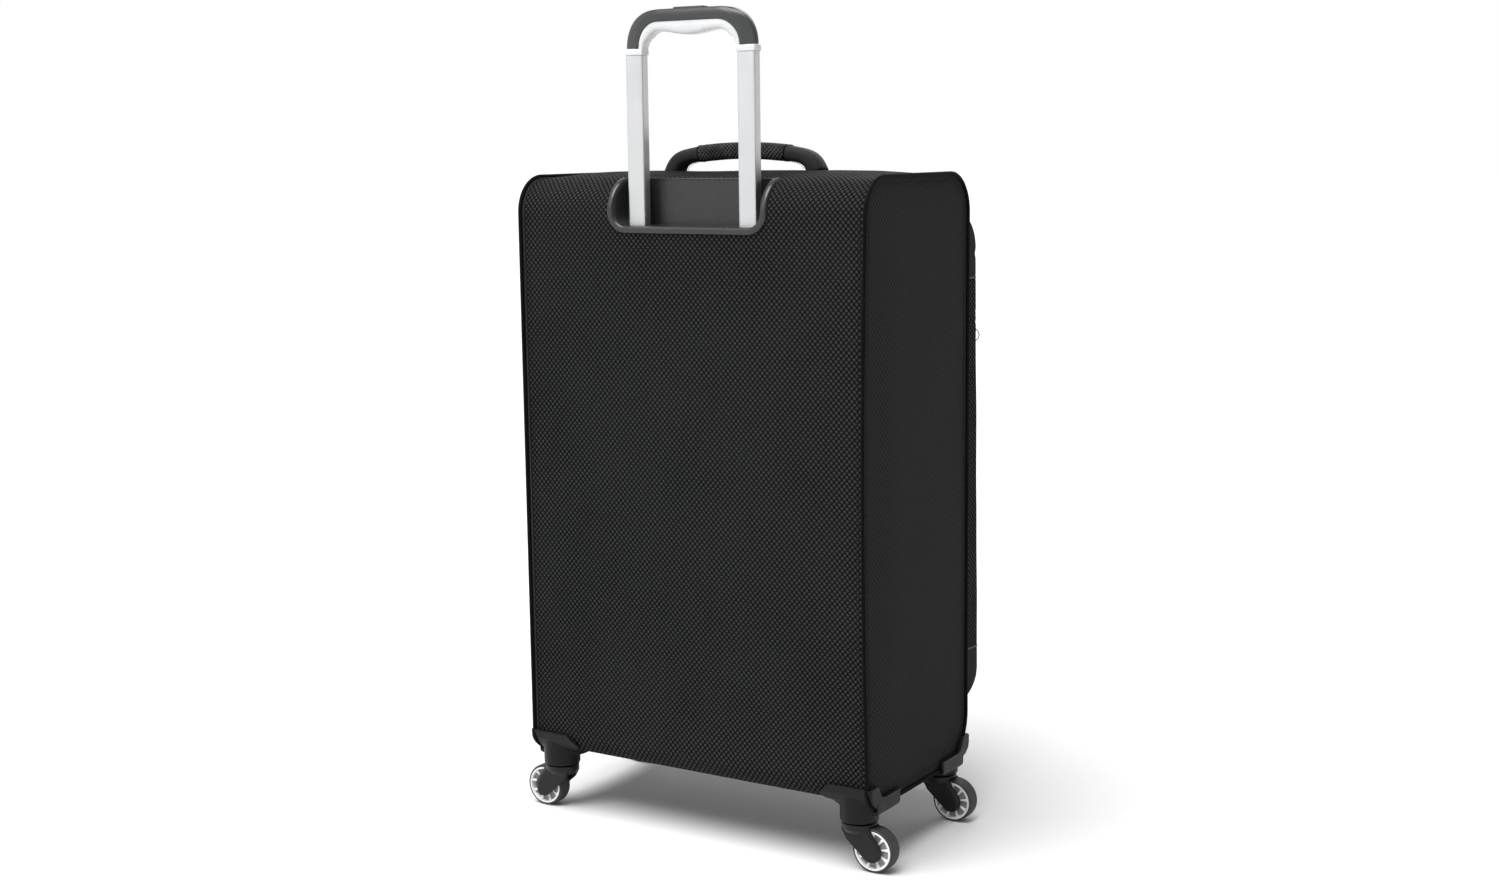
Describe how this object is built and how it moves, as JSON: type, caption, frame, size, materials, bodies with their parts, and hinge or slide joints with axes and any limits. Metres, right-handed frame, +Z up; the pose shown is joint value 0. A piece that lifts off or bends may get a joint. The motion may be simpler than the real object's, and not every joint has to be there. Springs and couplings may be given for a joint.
{
  "type": "softside upright suitcase",
  "caption": "Black softside upright suitcase with spinner casters, corner guards, front pockets, carry handles and a telescoping trolley handle.",
  "frame": {"origin": "on the floor, under the middle of the bounding box", "axes": "+Z up; -Y is the front with the lid and pockets, +Y is the back with the trolley; X is across the width"},
  "size_m": [0.5148, 0.3075, 0.9655],
  "materials": {
    "shell_cloth": "embossed small-diamond polyester, matt",
    "webbing": "woven webbing and mesh",
    "piping": "coated cord",
    "lining": "plain lining cloth",
    "board": "honeycomb board",
    "zip_tape": "coil zip tape",
    "zip_metal": "plated zip metal",
    "moulded_black": "satin moulded",
    "grip_dark": "satin moulded",
    "grip_silver": "silver satin moulded",
    "aluminium": "satin anodised",
    "steel": "plain steel",
    "wheel_rim": "bright silver",
    "tyre": "moulded tyre rubber"
  },
  "bodies": {
    "root": {"shell_wrap": "shell_cloth", "side_panel_left": "shell_cloth", "side_panel_right": "shell_cloth", "carry_handle": "webbing", "side_handle": "webbing", "packing_strap": "webbing", "piping_left": "piping", "piping_right": "piping", "lining_panel": "lining", "back_board": "board", "bottom_board": "board", "main_zip_tape": "zip_tape", "corner_guard_back_right": "moulded_black", "corner_guard_back_left": "moulded_black", "corner_guard_front_right": "moulded_black", "corner_guard_front_left": "moulded_black", "channel_bracket": "moulded_black", "trolley_cup": "grip_dark", "trolley_channel_left": "aluminium", "trolley_channel_right": "aluminium", "frame_wire_left": "steel", "frame_wire_right": "steel"},
    "lid": {"lid_panel": "shell_cloth", "pocket_lower": "shell_cloth", "pocket_upper": "shell_cloth", "pocket_zip_lower": "zip_tape", "pocket_zip_upper": "zip_tape"},
    "main_slider_upper": {"main_slider_upper": "zip_metal"},
    "main_slider_upper_pull": {"main_slider_upper_pull": "zip_metal"},
    "main_slider_lower": {"main_slider_lower": "zip_metal"},
    "main_slider_lower_pull": {"main_slider_lower_pull": "zip_metal"},
    "pocket_slider_upper": {"pocket_slider_upper": "zip_metal"},
    "pocket_slider_upper_pull": {"pocket_slider_upper_pull": "zip_metal"},
    "pocket_slider_lower": {"pocket_slider_lower": "zip_metal"},
    "pocket_slider_lower_pull": {"pocket_slider_lower_pull": "zip_metal"},
    "caster_back_right_swivel": {"caster_back_right_fork": "moulded_black", "caster_back_right_axle": "steel"},
    "caster_back_right_wheel": {"caster_back_right_tyre": "tyre", "caster_back_right_hub": "wheel_rim"},
    "caster_back_left_swivel": {"caster_back_left_fork": "moulded_black", "caster_back_left_axle": "steel"},
    "caster_back_left_wheel": {"caster_back_left_tyre": "tyre", "caster_back_left_hub": "wheel_rim"},
    "caster_front_right_swivel": {"caster_front_right_fork": "moulded_black", "caster_front_right_axle": "steel"},
    "caster_front_right_wheel": {"caster_front_right_tyre": "tyre", "caster_front_right_hub": "wheel_rim"},
    "caster_front_left_swivel": {"caster_front_left_fork": "moulded_black", "caster_front_left_axle": "steel"},
    "caster_front_left_wheel": {"caster_front_left_tyre": "tyre", "caster_front_left_hub": "wheel_rim"},
    "trolley": {"trolley_tube_left": "aluminium", "trolley_tube_right": "aluminium", "grip_core": "grip_silver", "grip_shell": "grip_dark"},
    "grip_button": {"push_button": "grip_dark", "release_rod_left": "steel", "release_rod_right": "steel"},
    "lock_pin_left": {"lock_pin_left": "steel"},
    "lock_pin_right": {"lock_pin_right": "steel"}
  },
  "joints": [
    {"name": "swivel_back_right", "type": "hinge", "parent": "root", "child": "caster_back_right_swivel", "pos_m": [-0.2106, 0.12673, 0.05], "axis": [0, 0, 1], "continuous": true},
    {"name": "roll_back_right", "type": "hinge", "parent": "caster_back_right_swivel", "child": "caster_back_right_wheel", "pos_m": [-0.232, 0.12673, 0.0254], "axis": [0, 1, 0], "continuous": true},
    {"name": "swivel_back_left", "type": "hinge", "parent": "root", "child": "caster_back_left_swivel", "pos_m": [0.2106, 0.12673, 0.05], "axis": [0, 0, 1], "continuous": true},
    {"name": "roll_back_left", "type": "hinge", "parent": "caster_back_left_swivel", "child": "caster_back_left_wheel", "pos_m": [0.232, 0.12673, 0.0254], "axis": [0, 1, 0], "continuous": true},
    {"name": "swivel_front_right", "type": "hinge", "parent": "root", "child": "caster_front_right_swivel", "pos_m": [-0.2106, -0.07267, 0.05], "axis": [0, 0, 1], "continuous": true},
    {"name": "roll_front_right", "type": "hinge", "parent": "caster_front_right_swivel", "child": "caster_front_right_wheel", "pos_m": [-0.232, -0.07267, 0.0254], "axis": [0, 1, 0], "continuous": true},
    {"name": "swivel_front_left", "type": "hinge", "parent": "root", "child": "caster_front_left_swivel", "pos_m": [0.2106, -0.07267, 0.05], "axis": [0, 0, 1], "continuous": true},
    {"name": "roll_front_left", "type": "hinge", "parent": "caster_front_left_swivel", "child": "caster_front_left_wheel", "pos_m": [0.232, -0.07267, 0.0254], "axis": [0, 1, 0], "continuous": true},
    {"name": "lid_open", "type": "hinge", "parent": "root", "child": "lid", "pos_m": [0.2375, -0.09997, 0.42], "axis": [0, 0, 1], "range_deg": [0, 178]},
    {"name": "trolley_slide", "type": "slide", "parent": "root", "child": "trolley", "axis": [0, 0, 1], "range_m": [-0.18, 0]},
    {"name": "button_press", "type": "slide", "parent": "trolley", "child": "grip_button", "axis": [0, 0, -1], "range_m": [0, 0.003], "stiffness_N_per_m": 1500, "springref_m": -0.003},
    {"name": "lock_pin_left_draw", "type": "slide", "parent": "trolley", "child": "lock_pin_left", "axis": [1, 0, 0], "range_m": [0, 0.0012]},
    {"name": "lock_pin_right_draw", "type": "slide", "parent": "trolley", "child": "lock_pin_right", "axis": [-1, 0, 0], "range_m": [0, 0.0012]},
    {"name": "main_slider_upper_run", "type": "slide", "parent": "lid", "child": "main_slider_upper", "axis": [0, 0, 1], "range_m": [0, 0.075]},
    {"name": "main_slider_upper_pull_swing", "type": "hinge", "parent": "main_slider_upper", "child": "main_slider_upper_pull", "pos_m": [-0.2274, -0.09697, 0.625], "axis": [-1, 0, 0], "range_deg": [0, 170]},
    {"name": "main_slider_lower_run", "type": "slide", "parent": "lid", "child": "main_slider_lower", "axis": [0, 0, 1], "range_m": [-0.44, 0]},
    {"name": "main_slider_lower_pull_swing", "type": "hinge", "parent": "main_slider_lower", "child": "main_slider_lower_pull", "pos_m": [-0.2274, -0.09697, 0.592], "axis": [-1, 0, 0], "range_deg": [0, 170]},
    {"name": "pocket_slider_lower_run", "type": "slide", "parent": "lid", "child": "pocket_slider_lower", "axis": [1, 0, 0], "range_m": [0, 0.432]},
    {"name": "pocket_slider_lower_pull_swing", "type": "hinge", "parent": "pocket_slider_lower", "child": "pocket_slider_lower_pull", "pos_m": [-0.216, -0.14964, 0.6015], "axis": [-1, 0, 0], "range_deg": [0, 170]},
    {"name": "pocket_slider_upper_run", "type": "slide", "parent": "lid", "child": "pocket_slider_upper", "axis": [1, 0, 0], "range_m": [0, 0.412]},
    {"name": "pocket_slider_upper_pull_swing", "type": "hinge", "parent": "pocket_slider_upper", "child": "pocket_slider_upper_pull", "pos_m": [-0.206, -0.14812, 0.68], "axis": [-1, 0, 0], "range_deg": [0, 170]}
  ],
  "couplings": [
    {"joint": "lock_pin_left_draw", "follows": "button_press", "ratio": 0.4},
    {"joint": "lock_pin_right_draw", "follows": "button_press", "ratio": 0.4}
  ]
}
